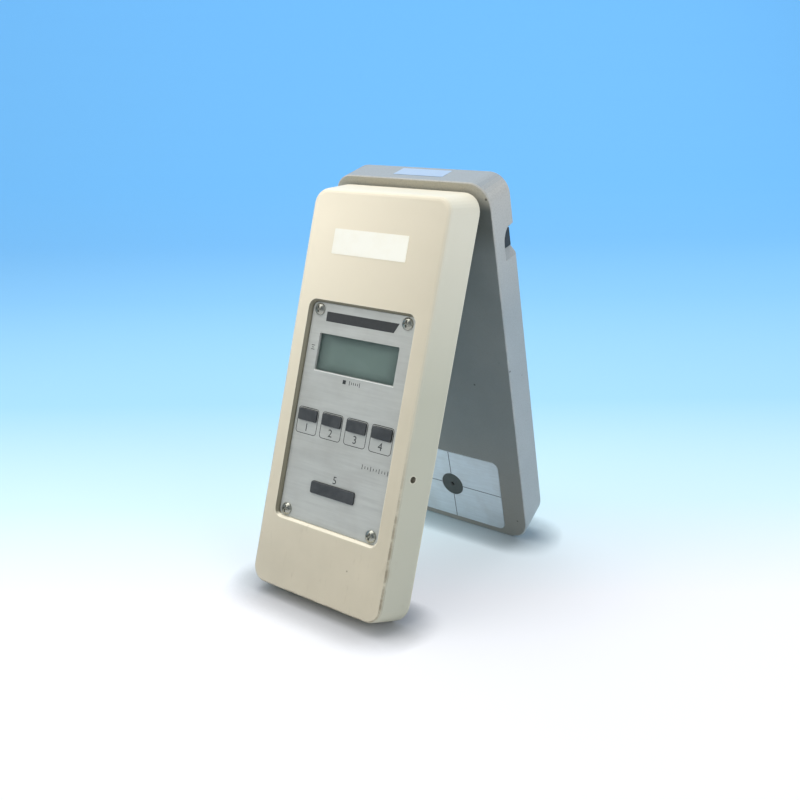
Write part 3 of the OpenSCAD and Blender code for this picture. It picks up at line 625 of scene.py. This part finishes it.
def scale_up(u, v, pitch, count, every, long_tick):
    """A column of ticks from (u, v) upwards, every so many of them longer."""
    return [
        patch(u, v + pitch * i, SHORT_TICK if i % every else long_tick, TICK)
        for i in range(count)
    ]


marks = [patch(SQUARE_U, SQUARE_V, SQUARE, SQUARE)]
marks += scale_across(-1.0, SQUARE_V, pitch=1.1, count=6, every=5, long_tick=1.9)
marks += scale_across(13.2, 62.7, pitch=1.5, count=10, every=3, long_tick=2.0)
marks += scale_up(-24.4, 106.9, pitch=0.9, count=3, every=2, long_tick=1.9)
on_panel("panel_marks", marks)

LETTER_TO_NUMBER = 1.42
KEY_NUMBER_V, KEY_NUMBER_HEIGHT = 72.6, 3.4
READ_NUMBER_V, READ_NUMBER_HEIGHT = 53.5, 3.3


def numeral(name, text, u, v, height):
    """A plain number printed on the panel, as a thin solid."""
    curve = bpy.data.curves.new(name, "FONT")
    curve.body = text
    curve.align_x = "CENTER"
    curve.align_y = "CENTER"
    curve.size = height * LETTER_TO_NUMBER
    curve.extrude = PRINT_THICK / 2
    curve.resolution_u = 6
    maker = bpy.data.objects.new(name + "_maker", curve)
    bpy.context.scene.collection.objects.link(maker)
    bpy.context.view_layer.update()
    mesh = bpy.data.meshes.new_from_object(
        maker.evaluated_get(bpy.context.evaluated_depsgraph_get())
    )
    bpy.data.objects.remove(maker)
    upright = Matrix.Translation(
        (u, PANEL_FACE - PRINT_THICK / 2, v)
    ) @ Matrix.Rotation(math.pi / 2, 4, "X")
    mesh.transform(HEAD_FRAME @ upright)
    mesh.materials.clear()
    mesh.materials.append(panel_ink)
    piece = bpy.data.objects.new(name, mesh)
    bpy.context.scene.collection.objects.link(piece)
    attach(piece, "head")


for i, u in enumerate(KEY_PLACES):
    numeral(f"key_number_{i + 1}", str(i + 1), u, KEY_NUMBER_V, KEY_NUMBER_HEIGHT)
numeral("read_number", "5", 0.0, READ_NUMBER_V, READ_NUMBER_HEIGHT)

# Lines on the target plate that cross at the disc
OPTIC_V, DISC_R = 22.8, 6.1
PLATE_LOW, PLATE_TOP, PLATE_HALF = 2.9, 42.4, 28.8
LINE, LINE_GAP = 0.4, 0.4
cross = []
for end in (PLATE_LOW, PLATE_TOP):
    rim = OPTIC_V + math.copysign(DISC_R, end - OPTIC_V)
    cross.append(patch(0, (end + rim) / 2, LINE, abs(end - rim) - LINE_GAP))
for end in (PLATE_HALF, -PLATE_HALF):
    rim = math.copysign(DISC_R, end)
    cross.append(patch((end + rim) / 2, OPTIC_V, abs(end - rim) - LINE_GAP, LINE))
printed("cross_lines", cross, BASE_FRAME, -PLATE_PROUD, plate_ink, "root")

# ---------------------------------------------------------------- floor and backdrop

camera_place = Vector((255.35, -331.59, 220.18)) * MM
YAW, PITCH, ROLL = (math.radians(a) for a in (37.483, 18.617, -0.820))
away = Vector((-math.sin(YAW), math.cos(YAW), 0))
across = Vector((math.cos(YAW), math.sin(YAW), 0))
ground_point = Vector((camera_place.x, camera_place.y, 0))

# One sheet: a level floor, a bend and a wall, in metres from the ground point
SWEEP_START, SWEEP_BEND, SWEEP_HALF = -1.6, 1.3, 2.6
BEND_RADIUS, WALL_TOP = 0.35, 1.5
FLOOR_STEPS, BEND_STEPS, WALL_STEPS = 24, 12, 8
profile = [
    (SWEEP_START + (SWEEP_BEND - SWEEP_START) * i / FLOOR_STEPS, 0.0)
    for i in range(FLOOR_STEPS + 1)
]
for i in range(1, BEND_STEPS + 1):
    turn = math.radians(90 * i / BEND_STEPS)
    profile.append(
        (SWEEP_BEND + BEND_RADIUS * math.sin(turn), BEND_RADIUS * (1 - math.cos(turn)))
    )
profile += [
    (SWEEP_BEND + BEND_RADIUS, BEND_RADIUS + (WALL_TOP - BEND_RADIUS) * i / WALL_STEPS)
    for i in range(1, WALL_STEPS + 1)
]
sweep = bpy.data.meshes.new("backdrop")
verts = [
    ground_point + away * along + across * side + Vector((0, 0, up))
    for along, up in profile
    for side in (-SWEEP_HALF, SWEEP_HALF)
]
sweep.from_pydata(
    verts,
    [],
    [(2 * i, 2 * i + 1, 2 * i + 3, 2 * i + 2) for i in range(len(profile) - 1)],
)
sweep.polygons.foreach_set("use_smooth", [True] * len(sweep.polygons))
backdrop = bpy.data.objects.new("backdrop", sweep)
bpy.context.scene.collection.objects.link(backdrop)

stage = Shader("backdrop", Roughness=0.9, Specular_IOR_Level=0.1)
from_ground_point = stage.add(
    "ShaderNodeVectorMath",
    operation="SUBTRACT",
    inputs={0: stage.add("ShaderNodeNewGeometry", "Position"), 1: ground_point},
)
reach = stage.dot(from_ground_point, away)

# Tones by how far the backdrop reaches from the ground point, in metres
BACKDROP_TONES = [
    (0.38, colour(252, 252, 255)),
    (0.48, colour(218, 246, 254)),
    (0.65, colour(173, 224, 254)),
    (0.98, colour(149, 211, 254)),
    (1.5, colour(125, 199, 255)),
]
backdrop_tone = BACKDROP_TONES[0][1]
for (near, _), (far, far_tone) in zip(BACKDROP_TONES, BACKDROP_TONES[1:]):
    backdrop_tone = stage.mix(stage.ramp(reach, near, far), backdrop_tone, far_tone)
path = stage.tree.nodes.new("ShaderNodeLightPath").outputs
seen = stage.greater(
    path["Is Camera Ray"],
    stage.greater(path["Is Glossy Ray"], path["Is Transmission Ray"]),
)

# Half of what is seen comes from the lamps, which keeps soft shadows, and half glows from the tone
# itself; that glow fades under whatever stands close above the floor, a painted contact shadow
LAMP_SHARE = 0.5
CONTACT_REACH, CONTACT_POWER, CONTACT_SAMPLES = 0.018, 6.0, 8
open_sky = stage.add(
    "ShaderNodeAmbientOcclusion", "AO", {"Distance": CONTACT_REACH}, samples=CONTACT_SAMPLES
)
own_light = stage.times(
    stage.math("POWER", open_sky, CONTACT_POWER), seen, stage.ramp(reach, 0.6, 1.5, 0.48, 0.62)
)
stage.finish(
    Base_Color=stage.tint(backdrop_tone, seen, LAMP_SHARE, colour(0, 0, 0)),
    Emission_Color=backdrop_tone,
    Emission_Strength=own_light,
)
sweep.materials.append(stage.material)

# ---------------------------------------------------------------- light and camera

world = bpy.data.worlds.new("studio")
bpy.context.scene.world = world
world.use_nodes = True
sky = world.node_tree.nodes["Background"].inputs
sky["Color"].default_value = colour(222, 236, 250)
sky["Strength"].default_value = 0.3

CENTRE = Vector((0, 0, 0.09))
LAMPS = [
    # name, place and size in metres, watts, tone
    ("overhead", (-0.2, 0.03, 0.8), (0.7, 0.6), 4.8, (1, 0.99, 0.97)),
    ("front_left", (-0.65, -0.75, 0.9), (0.7, 0.7), 4.9, (1, 0.97, 0.92)),
    ("right", (1.1, -0.25, 0.6), (0.7, 0.7), 5.6, (0.92, 0.97, 1)),
    ("behind", (0.3, 1.0, 0.7), (0.9, 0.6), 3.0, (0.94, 0.97, 1)),
]
for name, place, size, watts, lamp_tone in LAMPS:
    light = bpy.data.lights.new(name, "AREA")
    light.shape = "RECTANGLE"
    light.size, light.size_y = size
    light.energy = watts
    light.color = lamp_tone
    lamp = bpy.data.objects.new(name, light)
    bpy.context.scene.collection.objects.link(lamp)
    lamp.location = place
    lamp.rotation_mode = "QUATERNION"
    lamp.rotation_quaternion = (CENTRE - Vector(place)).to_track_quat("-Z", "Y")

camera_data = bpy.data.cameras.new("camera")
camera_data.sensor_width = 36.0
camera_data.lens = 43.785
camera_data.clip_start = 0.01
camera = bpy.data.objects.new("camera", camera_data)
bpy.context.scene.collection.objects.link(camera)
bpy.context.scene.camera = camera
forward = away * math.cos(PITCH) + Vector((0, 0, -math.sin(PITCH)))
level_up = across.cross(forward)
right = across * math.cos(ROLL) + level_up * math.sin(ROLL)
up = right.cross(forward)
turn = Matrix((right, up, -forward)).transposed().to_4x4()
camera.matrix_world = Matrix.Translation(camera_place) @ turn

bpy.context.scene.view_settings.view_transform = "Standard"
